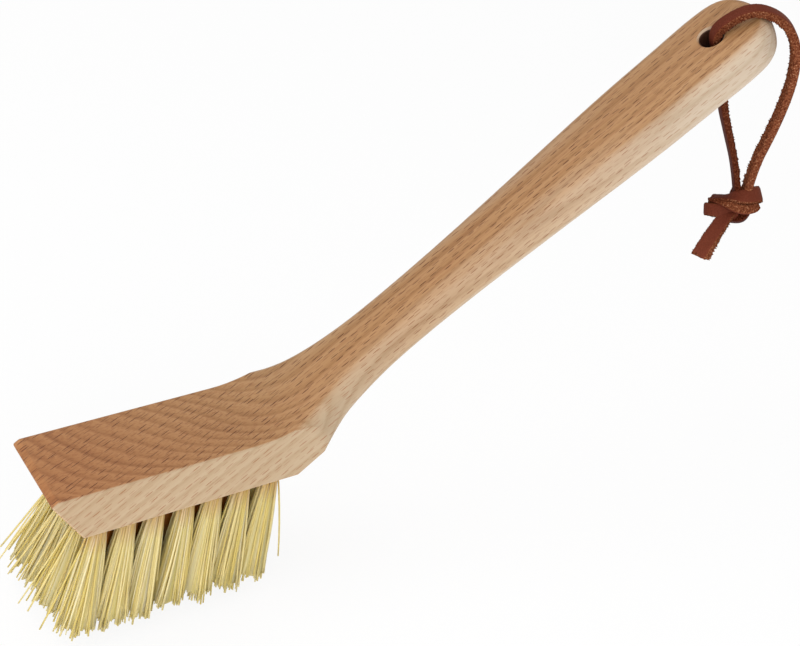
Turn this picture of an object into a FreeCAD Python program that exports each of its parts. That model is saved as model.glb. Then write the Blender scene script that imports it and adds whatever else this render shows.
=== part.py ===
# Wooden dish brush: a beech handle and head in one piece, fibre tufts held by wire anchors,
# and a knotted leather lace through the hanging hole.
#
# The heel, where the head's underside meets the handle's underside, is the point that every
# piece is worked out from. "Along" runs up the handle, "up" is square to it, Y is across.
# The finished pieces are moved so that the origin is in the middle of the hand's grip.
import FreeCAD, Part
import math
import os

import Sketcher

doc = FreeCAD.newDocument("dish_brush")
sheet = doc.addObject("Spreadsheet::Sheet", "sizes")

# Driving sizes in millimetres and degrees
SIZES = {
    "head_width": 32.0,
    "head_thickness": 15.5,
    "head_length": 67.5,
    "toe_end_length": 16.8,
    "edge_ease": 0.7,
    "handle_angle": 32.3,
    "handle_length": 202.0,
    "heel_extra_angle": 2.4,
    "underside_relief": 1.9,
    "relief_radius": 850.0,
    "handle_taper_angle": 1.0,
    "tip_thickness": 15.2,
    "neck_radius": 46.0,
    "waist_station": 58.0,
    "waist_half_width": 9.8,
    "grip_half_width": 14.4,
    "grip_widest_margin": 32.0,
    "shoulder_flare": 13.2,
    "shoulder_power": 2.8,
    "top_round": 5.0,
    "under_round": 6.0,
    "under_round_at_heel": 1.2,
    "under_round_run": 22.0,
    "tip_round_length": 15.0,
    "tip_top_round": 8.0,
    "tip_under_round": 5.0,
    "flat_depth": 0.3,
    "head_keep": 12.0,
    "hole_end_margin": 19.4,
    "hole_diameter": 7.5,
    "hole_ease": 0.8,
    "grip_station": 110.0,
    "grip_height": 8.5,
    "tuft_columns": 7,
    "tuft_rows": 4,
    "tuft_toe_margin": 5.8,
    "tuft_heel_margin": 7.7,
    "tuft_side_margin": 4.0,
    "tuft_hole_diameter": 5.6,
    "tuft_hole_depth": 10.0,
    "tuft_clearance": 0.05,
    "tuft_length": 35.2,
    "tuft_tip_diameter": 8.6,
    "near_toe_lean": 12.0,
    "toe_lean": 22.0,
    "heel_lean": 10.4,
    "lean_falloff": 0.45,
    "side_splay": 7.0,
    "anchor_bite": 0.3,
    "anchor_thickness": 0.35,
    "anchor_height": 2.4,
    "anchor_cover": 0.9,
    "lace_width": 4.0,
    "lace_thickness": 2.8,
    "loop_turn": -26.0,
    "knot_along": -12.6,
    "knot_up": -56.2,
    "knot_half_length": 8.0,
    "knot_half_height": 6.2,
    "knot_half_depth": 6.2,
    "front_tail_length": 21.0,
    "back_tail_length": 9.2,
    "tail_tilt": 28.0,
    "back_tail_tilt": -26.0,
    "tail_gap": 0.6,
}
for row, (alias, value) in enumerate(SIZES.items(), start=1):
    sheet.set(f"A{row}", alias)
    sheet.set(f"B{row}", str(value))
    sheet.setAlias(f"B{row}", alias)
doc.recompute()


def size(alias):
    """The present value of a cell."""
    return float(sheet.get(alias))


ANGLE = math.radians(size("handle_angle"))
ALONG = FreeCAD.Vector(math.cos(ANGLE), 0, math.sin(ANGLE))
UP = FreeCAD.Vector(-math.sin(ANGLE), 0, math.cos(ANGLE))
ACROSS = FreeCAD.Vector(0, 1, 0)

# The heel's place when the origin is at the grip, and a turn by the handle's angle,
# as spreadsheet expressions
ON_HANDLE = "rotationy(-sizes.handle_angle)"
HEEL = f"({ON_HANDLE} * vector(-sizes.grip_station; 0; -sizes.grip_height))"
UNTURNED = "rotationy(0)"
NO_SHIFT = "vector(0; 0; 0)"
finished = []


def on_handle(station, across, height):
    """A point given along, across and up from the handle's underside at the heel."""
    return ALONG * station + ACROSS * across + UP * height


def finish(piece, label, shift=NO_SHIFT, turn=UNTURNED):
    """Names a finished piece and moves it from the heel's frame to the grip's."""
    piece.Label = label
    piece.setExpression("Placement", f"placement({HEEL} + {shift}; {turn})")
    finished.append(piece)


# Side profile of the blank
blank = doc.addObject("PartDesign::Body", "blank")
profile = blank.newObject("Sketcher::SketchObject", "side_profile")
planes = {plane.Role: plane for plane in blank.Origin.OriginFeatures}
profile.AttachmentSupport = [(planes["XZ_Plane"], "")]
profile.MapMode = "FlatFace"


def flat(point):
    """A point of the mid plane, as the sketch sees it."""
    return FreeCAD.Vector(point.x, point.z, 0)


def heading(degrees):
    """A unit vector of the mid plane at an angle to the head."""
    turn = math.radians(degrees)
    return FreeCAD.Vector(math.cos(turn), math.sin(turn), 0)


def crossing(point, direction, other, other_direction):
    """Where two lines of the sketch cross."""
    span = other - point
    turn = direction.x * other_direction.y - direction.y * other_direction.x
    reach = (span.x * other_direction.y - span.y * other_direction.x) / turn
    return point + direction * reach


def blend(corner, before, after, radius):
    """Arc of a radius that rounds a corner between two headings, as start, middle and end."""
    half_turn = before.getAngle(after) / 2
    reach = radius * math.tan(half_turn)
    start = corner - before * reach
    end = corner + after * reach
    inward = (after - before).normalize()
    middle = corner + inward * (radius / math.cos(half_turn) - radius)
    return start, middle, end


heel = FreeCAD.Vector(0, 0, 0)
toe_under = FreeCAD.Vector(-size("head_length"), 0, 0)
under_dir = heading(size("handle_angle"))
heel_dir = heading(size("handle_angle") + size("heel_extra_angle"))
top_dir = heading(size("handle_angle") + size("handle_taper_angle"))
flat_dir = heading(0)
blank_end = size("handle_length") + size("tip_top_round")
under_tip = flat(on_handle(blank_end, 0, size("underside_relief")))
top_tip = flat(on_handle(blank_end, 0, size("underside_relief") + size("tip_thickness")))
relief_corner = crossing(heel, heel_dir, under_tip, under_dir)
neck_corner = crossing(top_tip, top_dir, FreeCAD.Vector(0, size("head_thickness"), 0), flat_dir)
relief = blend(relief_corner, heel_dir, under_dir, size("relief_radius"))
neck = blend(neck_corner, -top_dir, -flat_dir, size("neck_radius"))
toe_top = toe_under + flat(UP) * size("toe_end_length")
facet_top = crossing(toe_top, under_dir, FreeCAD.Vector(0, size("head_thickness"), 0), flat_dir)

# Each arc turns anticlockwise, so it starts where the outline leaves it
START, END = range(1, 3)
floor, bevel, hollow, under, tip_end, top, sweep, deck, facet, toe = range(10)
profile.addGeometry([
    Part.LineSegment(toe_under, heel),
    Part.LineSegment(heel, relief[0]),
    Part.ArcOfCircle(relief[2], relief[1], relief[0]),
    Part.LineSegment(relief[2], under_tip),
    Part.LineSegment(under_tip, top_tip),
    Part.LineSegment(top_tip, neck[0]),
    Part.ArcOfCircle(neck[2], neck[1], neck[0]),
    Part.LineSegment(neck[2], facet_top),
    Part.LineSegment(facet_top, toe_top),
    Part.LineSegment(toe_top, toe_under),
], False)
HORIZONTAL_AXIS = -1
rules = [
    ("Coincident", floor, END, HORIZONTAL_AXIS, START),
    ("Coincident", floor, END, bevel, START),
    ("Tangent", bevel, END, hollow, END),
    ("Tangent", hollow, START, under, START),
    ("Coincident", under, END, tip_end, START),
    ("Coincident", tip_end, END, top, START),
    ("Tangent", top, END, sweep, END),
    ("Tangent", sweep, START, deck, START),
    ("Coincident", deck, END, facet, START),
    ("Coincident", facet, END, toe, START),
    ("Coincident", toe, END, floor, START),
    ("Horizontal", floor),
    ("Horizontal", deck),
    ("Perpendicular", tip_end, under),
    ("Parallel", facet, under),
    ("Perpendicular", toe, facet),
]
for rule in rules:
    profile.addConstraint(Sketcher.Constraint(*rule))


def drive(name, expression, *rule):
    """Adds a measured constraint to the profile and ties it to the sheet."""
    index = profile.addConstraint(Sketcher.Constraint(*rule))
    profile.renameConstraint(index, name)
    profile.setExpression(f"Constraints.{name}", expression)


drive("head_length", "sizes.head_length",
      "DistanceX", floor, START, floor, END, size("head_length"))
drive("head_thickness", "sizes.head_thickness",
      "DistanceY", floor, END, deck, START, size("head_thickness"))
drive("toe_end_length", "sizes.toe_end_length", "Distance", toe, size("toe_end_length"))
drive("heel_angle", "(sizes.handle_angle + sizes.heel_extra_angle) * 1deg",
      "Angle", bevel, math.radians(size("handle_angle") + size("heel_extra_angle")))
drive("handle_angle", "sizes.handle_angle * 1deg",
      "Angle", under, math.radians(size("handle_angle")))
drive("top_angle", "(180 + sizes.handle_angle + sizes.handle_taper_angle) * 1deg",
      "Angle", top, math.radians(180 + size("handle_angle") + size("handle_taper_angle")))
drive("relief_radius", "sizes.relief_radius", "Radius", hollow, size("relief_radius"))
drive("neck_radius", "sizes.neck_radius", "Radius", sweep, size("neck_radius"))
drive("underside_relief", "sizes.underside_relief",
      "Distance", floor, END, under, size("underside_relief"))
drive("tip_thickness", "sizes.tip_thickness", "Distance", tip_end, size("tip_thickness"))
drive("blank_reach",
      "sqrt((sizes.handle_length + sizes.tip_top_round) ^ 2 + sizes.underside_relief ^ 2)",
      "Distance", floor, END, under, END,
      math.hypot(blank_end, size("underside_relief")))
doc.recompute()

# The blank, as thick as the head is wide, with its long edges eased
pad = blank.newObject("PartDesign::Pad", "blank_pad")
pad.Profile = profile
pad.SideType = "Symmetric"
pad.setExpression("Length", "sizes.head_width")
doc.recompute()
TOUCHING = 1e-6


def is_crisp(edge):
    """True where the blank turns a corner, not where two of its faces run on smoothly."""
    on_side = abs(abs(edge.CenterOfMass.y) - size("head_width") / 2) < TOUCHING
    start = edge.Vertexes[0].Point
    corners = (toe_under, heel, toe_top, facet_top)
    at_corner = any((flat(start) - point).Length < TOUCHING for point in corners)
    return on_side or at_corner


eased = blank.newObject("PartDesign::Fillet", "eased_edges")
crisp = [f"Edge{i}" for i, edge in enumerate(pad.Shape.Edges, start=1) if is_crisp(edge)]
eased.Base = (pad, crisp)
eased.setExpression("Radius", "sizes.edge_ease")
doc.recompute()

# Rounded form that the neck and the handle are cut to
waist = size("waist_station")
tip_start = size("handle_length") - size("tip_round_length")
SHOULDER_STEPS = (-0.25, -0.12, 0.02, 0.14, 0.26, 0.38, 0.52, 0.68, 0.84, 1.0)
GRIP_STEPS = (0.18, 0.36, 0.54, 0.72, 0.88, 1.0)
TIP_TURNS = (18, 34, 48, 60, 70, 78, 84)
# The form stands this much further off the blank for each millimetre that it reaches into the head
CLEARANCE_RATIO = 0.2
# Largest corner rounding, as shares of the half width and of the height
WIDTH_SHARE = 0.95
HEIGHT_SHARE = 0.48
stations = [waist * step for step in SHOULDER_STEPS]
stations += [waist + (tip_start - waist) * step for step in GRIP_STEPS]
for turn in TIP_TURNS:
    stations.append(tip_start + size("tip_round_length") * math.sin(math.radians(turn)))


def half_width(station):
    """Half the form's width: a flare at the shoulders, a waist, a grip and a round end."""
    if station < waist:
        flare = size("shoulder_flare") * (1 - station / waist) ** size("shoulder_power")
        return size("waist_half_width") + flare
    widest = size("handle_length") - size("grip_widest_margin")
    step = min((station - waist) / (widest - waist), 1)
    ease = step * step * (3 - 2 * step)
    wide = size("waist_half_width") + (size("grip_half_width") - size("waist_half_width")) * ease
    past = max(station - tip_start, 0) / size("tip_round_length")
    return wide * math.sqrt(1 - past * past)


def tip_drop(station, radius):
    """How far a rounded edge of the tip falls back at a station."""
    past = max(station - (size("handle_length") - radius), 0)
    return radius - math.sqrt(radius * radius - past * past)


def blank_heights(station):
    """Heights of the blank's underside and top at a station, from its profile."""
    reach = size("handle_length")
    line = Part.makeLine(on_handle(station, 0, -reach), on_handle(station, 0, reach))
    hits = line.distToShape(profile.Shape)[1]
    heights = [hit[0].dot(UP) for hit in hits]
    return min(heights), max(heights)


def form_section(station):
    """Rounded outline of the form at a station."""
    under_height, top_height = blank_heights(station)
    clear = size("flat_depth") + max(-station, 0) * CLEARANCE_RATIO
    low = under_height - clear + tip_drop(station, size("tip_under_round"))
    high = top_height + clear - tip_drop(station, size("tip_top_round"))
    wide = half_width(station)
    fade = min(max(station / size("under_round_run"), 0), 1)
    heel_round = size("under_round_at_heel")
    under_round = heel_round + (size("under_round") - heel_round) * fade
    most = min(WIDTH_SHARE * wide, HEIGHT_SHARE * (high - low))
    round_top = min(size("top_round"), most)
    round_low = min(under_round, most)
    corners = [
        (1, high, -round_top),
        (-1, high, -round_top),
        (-1, low, round_low),
        (1, low, round_low),
    ]
    arcs = []
    for index, (side, height, inset) in enumerate(corners):
        radius = abs(inset)
        hub_across = side * (wide - radius)
        hub_height = height + inset
        on_side = on_handle(station, side * wide, hub_height)
        on_flat = on_handle(station, hub_across, height)
        slant = radius * math.sqrt(0.5)
        out = hub_across + side * slant
        middle = on_handle(station, out, hub_height - math.copysign(slant, inset))
        ends = (on_side, on_flat) if index % 2 == 0 else (on_flat, on_side)
        arcs.append(Part.Arc(ends[0], middle, ends[1]).toShape())
    edges = []
    for index, arc in enumerate(arcs):
        following = arcs[(index + 1) % len(arcs)]
        edges.append(arc)
        edges.append(Part.makeLine(arc.Vertexes[-1].Point, following.Vertexes[0].Point))
    return Part.Wire(edges)


form = doc.addObject("Part::Feature", "handle_form")
form.Shape = Part.makeLoft([form_section(station) for station in stations], True, False)

# The head keeps its flat faces up to where the shoulders start
SPARE = 20.0
head_block = doc.addObject("Part::Box", "head_block")
head_block.setExpression("Length", f"sizes.head_length + {SPARE} - sizes.head_keep")
head_block.setExpression("Width", f"sizes.head_width + {SPARE}")
head_block.setExpression("Height", f"sizes.head_thickness + {SPARE}")
head_block.setExpression("Placement.Base.x", f"-sizes.head_length - {SPARE}")
head_block.setExpression("Placement.Base.y", f"-(sizes.head_width + {SPARE}) / 2")
head_block.setExpression("Placement.Base.z", f"-{SPARE} / 2")
outer_form = doc.addObject("Part::Fuse", "outer_form")
outer_form.Base = form
outer_form.Tool = head_block
shaped = doc.addObject("Part::Common", "shaped_blank")
shaped.Base = blank
shaped.Tool = outer_form


# Hanging hole through the handle's end, with both mouths eased
def square_to_handle(piece, station, height):
    """Stands a piece square to the handle at a station, from sheet expressions."""
    piece.setExpression("Placement", (
        f"placement({ON_HANDLE} * vector({station}; 0; {height}); {ON_HANDLE})"))


def lift(station):
    """Height of the handle's top at a station, as a sheet expression."""
    return ("(sizes.underside_relief + sizes.tip_thickness"
            f" - (sizes.handle_length + sizes.tip_top_round - {station})"
            " * tan(sizes.handle_taper_angle * 1deg))")


HOLE_STATION = "(sizes.handle_length - sizes.hole_end_margin)"
HOLE_TOP = lift(HOLE_STATION)
bore = doc.addObject("Part::Cylinder", "hanging_bore")
bore.setExpression("Radius", "sizes.hole_diameter / 2")
bore.setExpression("Height", f"2 * {SPARE} + {HOLE_TOP}")
square_to_handle(bore, HOLE_STATION, f"-{SPARE}")
top_mouth = doc.addObject("Part::Cone", "hanging_top_mouth")
top_mouth.setExpression("Radius1", "sizes.hole_diameter / 2")
top_mouth.setExpression("Radius2", "sizes.hole_diameter / 2 + 2 * sizes.hole_ease")
top_mouth.setExpression("Height", "2 * sizes.hole_ease")
square_to_handle(top_mouth, HOLE_STATION, f"{HOLE_TOP} - sizes.hole_ease")
low_mouth = doc.addObject("Part::Cone", "hanging_low_mouth")
low_mouth.setExpression("Radius1", "sizes.hole_diameter / 2 + 2 * sizes.hole_ease")
low_mouth.setExpression("Radius2", "sizes.hole_diameter / 2")
low_mouth.setExpression("Height", "2 * sizes.hole_ease")
square_to_handle(low_mouth, HOLE_STATION, "sizes.underside_relief - sizes.hole_ease")

# Tufts: each stands in a drilled hole, folded over a wire anchor
COLUMNS = int(size("tuft_columns"))
ROWS = int(size("tuft_rows"))
PITCH = ("((sizes.head_length - sizes.tuft_toe_margin - sizes.tuft_heel_margin)"
         " / (sizes.tuft_columns - 1))")
ROW_SPAN = "(sizes.head_width - 2 * sizes.tuft_side_margin)"
drills = [bore, top_mouth, low_mouth]
for row in range(ROWS):
    row_anchors = []
    row_share = f"({row} / (sizes.tuft_rows - 1) - 0.5)"
    toe_lean = "sizes.toe_lean" if row else "sizes.near_toe_lean"
    for column in range(COLUMNS):
        name = f"{row + 1}_{column + 1}"
        lean = (f"(sizes.heel_lean + ({toe_lean} - sizes.heel_lean)"
                f" * sizes.lean_falloff ^ {column})")
        splay = f"({row_share} * 2 * sizes.side_splay)"
        turn = f"rotationy({lean}) * rotationx({splay})"
        root = (f"vector(-sizes.head_length + sizes.tuft_toe_margin + {column} * {PITCH};"
                f" {row_share} * {ROW_SPAN}; 0)")

        drill = doc.addObject("Part::Cylinder", f"drill_{name}")
        drill.setExpression("Radius", "sizes.tuft_hole_diameter / 2")
        drill.setExpression("Height", "2 * sizes.tuft_hole_depth")
        drill.setExpression("Placement", (
            f"placement({root} + {turn} * vector(0; 0; -sizes.tuft_hole_depth); {turn})"))
        drills.append(drill)

        anchor = doc.addObject("Part::Box", f"anchor_{name}")
        anchor.setExpression("Length", "sizes.tuft_hole_diameter + 2 * sizes.anchor_bite")
        anchor.setExpression("Width", "sizes.anchor_thickness")
        anchor.setExpression("Height", "sizes.anchor_height")
        anchor.setExpression("Placement", (
            f"placement({root} + {turn} * vector(-sizes.tuft_hole_diameter / 2 - sizes.anchor_bite;"
            " -sizes.anchor_thickness / 2;"
            " sizes.tuft_hole_depth - sizes.anchor_cover - sizes.anchor_height);"
            f" {turn})"))
        row_anchors.append(anchor)

        stem = doc.addObject("Part::Cylinder", f"stem_{name}")
        stem.setExpression("Radius", "sizes.tuft_hole_diameter / 2 - sizes.tuft_clearance")
        stem.setExpression("Height", "sizes.tuft_hole_depth - sizes.tuft_clearance")
        stem.setExpression("Placement", f"placement({root}; {turn})")
        flare = doc.addObject("Part::Cone", f"flare_{name}")
        flare.setExpression("Radius1", "sizes.tuft_tip_diameter / 2")
        flare.setExpression("Radius2", "sizes.tuft_hole_diameter / 2 - sizes.tuft_clearance")
        flare.setExpression("Height", "sizes.tuft_length")
        flare.setExpression("Placement", (
            f"placement({root} + {turn} * vector(0; 0; -sizes.tuft_length); {turn})"))
        fibres = doc.addObject("Part::Fuse", f"fibres_{name}")
        fibres.Base = flare
        fibres.Tool = stem
        tuft = doc.addObject("Part::Cut", f"tuft_{name}")
        tuft.Base = fibres
        tuft.Tool = anchor
        finish(tuft, f"tuft_{name}")
    held = doc.addObject("Part::MultiFuse", f"anchors_{row + 1}")
    held.Shapes = row_anchors
    finish(held, f"anchors_row_{row + 1}")

drilling = doc.addObject("Part::MultiFuse", "drilling")
drilling.Shapes = drills
handle = doc.addObject("Part::Cut", "handle")
handle.Base = shaped
handle.Tool = drilling
finish(handle, "handle")
doc.recompute()

# Leather lace: route of its middle line, out and up from the hanging hole's axis in the plane
# that the loop is turned to, from the knot, up through the hole, over the handle's end and back
LACE_ROUTE = [
    (-10.6, -54.2), (-7.6, -41.0), (-5.8, -25.0), (-4.2, -11.5), (-1.2, -0.5), (0.2, 9.0),
    (1.0, 17.6), (7.0, 20.4), (14.8, 20.6), (20.6, 15.0), (23.4, 7.2), (23.0, -2.0),
    (19.4, -12.0), (13.8, -22.0), (6.2, -33.0), (-1.6, -43.0), (-7.4, -54.4),
]
BEND_SHARE = 0.45


def lace_path(points):
    """Straight runs joined by the largest arcs they leave room for, with the arcs' radii."""
    edges = []
    radii = []
    last = points[0]
    for before, corner, after in zip(points, points[1:], points[2:]):
        arriving = (corner - before).normalize()
        leaving = (after - corner).normalize()
        shorter = min((corner - before).Length, (after - corner).Length)
        radius = BEND_SHARE * shorter / math.tan(arriving.getAngle(leaving) / 2)
        start, middle, end = blend(corner, arriving, leaving, radius)
        edges.append(Part.LineSegment(last, start).toShape())
        edges.append(Part.Arc(start, middle, end).toShape())
        radii.append(radius)
        last = end
    edges.append(Part.LineSegment(last, points[-1]).toShape())
    return Part.Wire(edges), radii


hole_along = size("handle_length") - size("hole_end_margin")
loop_turn = math.radians(size("loop_turn"))
outward = ALONG * math.cos(loop_turn) + ACROSS * math.sin(loop_turn)
sideways = ACROSS * math.cos(loop_turn) - ALONG * math.sin(loop_turn)
route = [on_handle(hole_along, 0, up) + outward * out for out, up in LACE_ROUTE]
path, bends = lace_path(route)
first_run = (route[1] - route[0]).normalize()
half_wide = sideways * (size("lace_width") / 2)
half_thick = sideways.cross(first_run) * (size("lace_thickness") / 2)
strip = Part.makePolygon([
    route[0] + half_wide + half_thick,
    route[0] - half_wide + half_thick,
    route[0] - half_wide - half_thick,
    route[0] + half_wide - half_thick,
    route[0] + half_wide + half_thick,
])
lace = doc.addObject("Part::Feature", "lace")
lace.Shape = path.makePipeShell([strip], True, False)
finish(lace, "lace_loop")
straight_volume = size("lace_width") * size("lace_thickness") * path.Length
print("lace length", round(path.Length, 1), "mm, of it in the strip's volume",
      round(lace.Shape.Volume / straight_volume, 4))
print("lace bend radii", [round(radius, 1) for radius in bends])

# Overhand knot and the two tails below it
KNOT_PLACE = (f"({ON_HANDLE} * vector({HOLE_STATION} + sizes.knot_along * cos(sizes.loop_turn * 1deg);"
              " sizes.knot_along * sin(sizes.loop_turn * 1deg); sizes.knot_up))")
knot = doc.addObject("Part::Ellipsoid", "knot")
knot.setExpression("Radius1", "sizes.knot_half_height")
knot.setExpression("Radius2", "sizes.knot_half_length")
knot.setExpression("Radius3", "sizes.knot_half_depth")
finish(knot, "lace_knot", KNOT_PLACE)
for name, length, tilt, side in (
    ("lace_tail_front", "sizes.front_tail_length", "sizes.tail_tilt", -1),
    ("lace_tail_back", "sizes.back_tail_length", "sizes.back_tail_tilt", 1),
):
    tail = doc.addObject("Part::Box", name)
    tail.setExpression("Length", "sizes.lace_width")
    tail.setExpression("Width", "sizes.lace_thickness")
    tail.setExpression("Height", length)
    turn = f"rotationy({tilt})"
    middle = f"({side} * (sizes.lace_thickness + sizes.tail_gap) / 2)"
    corner = f"vector(-sizes.lace_width / 2; {middle} - sizes.lace_thickness / 2; -{length})"
    finish(tail, name, f"{KNOT_PLACE} + {turn} * {corner}", turn)
doc.recompute()

# Every object must have rebuilt, and every finished piece must be one sound solid or more
for item in doc.Objects:
    if "Invalid" in item.State or "Error" in item.State:
        raise RuntimeError(f"{item.Name} failed to rebuild: {item.State}")
os.makedirs("parts", exist_ok=True)
for piece in finished:
    if piece.Shape.isNull() or not piece.Shape.isValid() or not piece.Shape.Solids:
        raise RuntimeError(f"{piece.Label} is not a sound solid")
for piece in finished:
    piece.Shape.exportStep(f"parts/{piece.Label}.step")
print(len(finished), "pieces, handle volume", round(handle.Shape.Volume))
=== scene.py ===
# %% [markdown]
# # A wooden dish brush
# The brush is one beech blank, sawn so that the grain runs straight up the handle, with tufts of
# pale plant fibre pulled into its head and a leather lace knotted through its end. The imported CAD
# model is loaded first and stays where it is. Every new piece is worked out in the same frame, in
# metres: +X runs from the head to the handle's end, +Z is up, and -Y is the side nearest to us.

import math

import bpy
import numpy as np
from mathutils import Matrix, Vector


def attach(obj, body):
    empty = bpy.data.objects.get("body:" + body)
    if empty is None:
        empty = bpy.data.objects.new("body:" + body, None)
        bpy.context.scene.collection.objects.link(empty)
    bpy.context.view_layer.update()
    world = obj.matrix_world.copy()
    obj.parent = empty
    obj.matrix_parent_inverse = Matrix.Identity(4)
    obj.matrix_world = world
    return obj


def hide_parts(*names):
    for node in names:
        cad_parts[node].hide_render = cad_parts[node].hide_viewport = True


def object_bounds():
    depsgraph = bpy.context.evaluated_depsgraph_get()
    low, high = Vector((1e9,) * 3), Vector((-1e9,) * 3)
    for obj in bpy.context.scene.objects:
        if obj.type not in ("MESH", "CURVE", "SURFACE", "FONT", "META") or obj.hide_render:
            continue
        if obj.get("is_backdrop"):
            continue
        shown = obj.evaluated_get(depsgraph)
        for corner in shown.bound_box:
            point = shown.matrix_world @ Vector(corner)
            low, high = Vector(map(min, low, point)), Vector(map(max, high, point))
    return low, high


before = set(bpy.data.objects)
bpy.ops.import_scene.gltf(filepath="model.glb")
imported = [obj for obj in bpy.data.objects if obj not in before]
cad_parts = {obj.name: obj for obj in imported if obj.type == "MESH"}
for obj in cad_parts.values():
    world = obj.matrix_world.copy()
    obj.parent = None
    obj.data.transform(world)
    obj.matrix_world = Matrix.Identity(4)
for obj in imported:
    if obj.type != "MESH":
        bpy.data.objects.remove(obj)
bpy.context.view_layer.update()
MM = 0.001

# %% [markdown]
# ## Two lines that everything hangs on
# The heel is where the head's underside meets the handle's underside, and the handle climbs from
# it at a fixed angle. A point of the brush is easiest to say as so far along the handle, so far
# across it and so far up from its underside, so one function turns such numbers into the frame.

# %% The handle's directions
HANDLE_ANGLE = math.radians(32.3)
ALONG = np.array([math.cos(HANDLE_ANGLE), 0.0, math.sin(HANDLE_ANGLE)])
UP = np.array([-math.sin(HANDLE_ANGLE), 0.0, math.cos(HANDLE_ANGLE)])
ACROSS = np.array([0.0, 1.0, 0.0])
GRIP_ALONG = 110.0 * MM
GRIP_UP = 8.5 * MM
HOLE_ALONG = 182.6 * MM
HEEL = -GRIP_ALONG * ALONG - GRIP_UP * UP


def on_handle(along, across, up):
    """Heel + along * ALONG + across * ACROSS + up * UP, for numbers or whole arrays."""
    along, across, up = np.broadcast_arrays(along, across, up)
    return HEEL + along[..., None] * ALONG + across[..., None] * ACROSS + up[..., None] * UP


print("heel", HEEL.round(4))

# %% [markdown]
# ## Colours and nodes
# Colours are written as the hex values that a painting program shows. Blender calculates with
# light, which isn't spaced the way our eyes see it, so one function makes the change. A material
# is a tree of nodes. It could be clicked together in the shader editor, but a script can be read
# and run again, so one function adds a node with its settings and its links.


# %% Colour and node helpers
def srgb(code):
    """Linear RGBA of an sRGB hex colour: c/12.92 below 0.04045, else ((c+0.055)/1.055)^2.4."""
    channels = np.array([int(code[i:i + 2], 16) for i in (0, 2, 4)]) / 255
    low = channels / 12.92
    high = ((channels + 0.055) / 1.055) ** 2.4
    return (*np.where(channels <= 0.04045, low, high).tolist(), 1.0)


def add(tree, kind, inputs=None, **settings):
    """Adds a node with its settings, then sets or links each input, a node by its first output."""
    node = tree.nodes.new("ShaderNode" + kind)
    for name, value in settings.items():
        setattr(node, name, value)
    for socket, value in (inputs or {}).items():
        value = value.outputs[0] if isinstance(value, bpy.types.Node) else value
        if isinstance(value, bpy.types.NodeSocket):
            tree.links.new(value, node.inputs[socket])
        else:
            node.inputs[socket].default_value = value
    return node


def ramp(tree, value, stops):
    """Colour Ramp from (place, hex) stops, driven by a value; returns its colour."""
    node = add(tree, "ValToRGB", {"Fac": value})
    elements = node.color_ramp.elements
    while len(elements) < len(stops):
        elements.new(1.0)
    for element, (place, code) in zip(elements, stops):
        element.position = place
        element.color = srgb(code)
    return node.outputs["Color"]


def new_material(name):
    """A node material without nodes; returns the material and its tree."""
    material = bpy.data.materials.new(name)
    material.use_nodes = True
    material.node_tree.nodes.clear()
    return material, material.node_tree


print("mid grey in light", round(srgb("808080")[0], 3))

# %% [markdown]
# ## Camera
# The photograph looks down on the brush from the toe's side through a long lens. The camera stands
# at the place that makes the head's corners, the handle's edges and the hole land where they do in
# the picture, and it is rolled a little, as the picture is. Its axes are worked out from where
# it looks, which leaves no doubt about the order of three rotations.

# %% Camera
CAMERA_AT = Vector((-280.40, -359.69, 252.66)) * MM
CAMERA_AIM = Vector((-47.00, 0.0, -32.24)) * MM
CAMERA_ROLL = math.radians(-5.145)
LENS_MM, SENSOR_MM = 75.946, 36.0
CLIP_START, CLIP_END = 0.01, 20.0
look = (CAMERA_AIM - CAMERA_AT).normalized()
level_right = look.cross(Vector((0, 0, 1))).normalized()
level_up = level_right.cross(look)
camera_up = level_up * math.cos(CAMERA_ROLL) + level_right * math.sin(CAMERA_ROLL)
camera_right = look.cross(camera_up)
camera = bpy.data.objects.new("camera", bpy.data.cameras.new("camera"))
axes = Matrix((camera_right, camera_up, -look)).transposed()
camera.matrix_world = Matrix.Translation(CAMERA_AT) @ axes.to_4x4()
camera.data.lens = LENS_MM
camera.data.sensor_width = SENSOR_MM
camera.data.clip_start = CLIP_START
camera.data.clip_end = CLIP_END
bpy.context.scene.collection.objects.link(camera)
bpy.context.scene.camera = camera
print("camera at", tuple(round(value, 3) for value in CAMERA_AT))

# %% [markdown]
# ## Beech
# Beech is a pale pinkish wood. Its rays, thin sheets of cells that stand across the growth rings,
# show as short dark dashes along the grain, and the rings show as soft reddish bands where a face
# cuts them at a slant, as the head's top does. A flat picture of wood could be wrapped round the
# blank, but its lines would not meet at the edges. So every point gets its colour from its place
# in the tree: along the grain, across the rings (radial) and round them (tangential).

# %% Growth rings
RING_TILT = math.radians(-42.4)
RING_PITCH = 2.9 * MM
RING_WAVER = 1.6 * RING_PITCH
PITH_DISTANCE = 70.0 * MM
CLOUD_LENGTH, CLOUD_WIDTH = 200.0 * MM, 100.0 / 3 * MM
YEAR_SPREAD = 0.75


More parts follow.
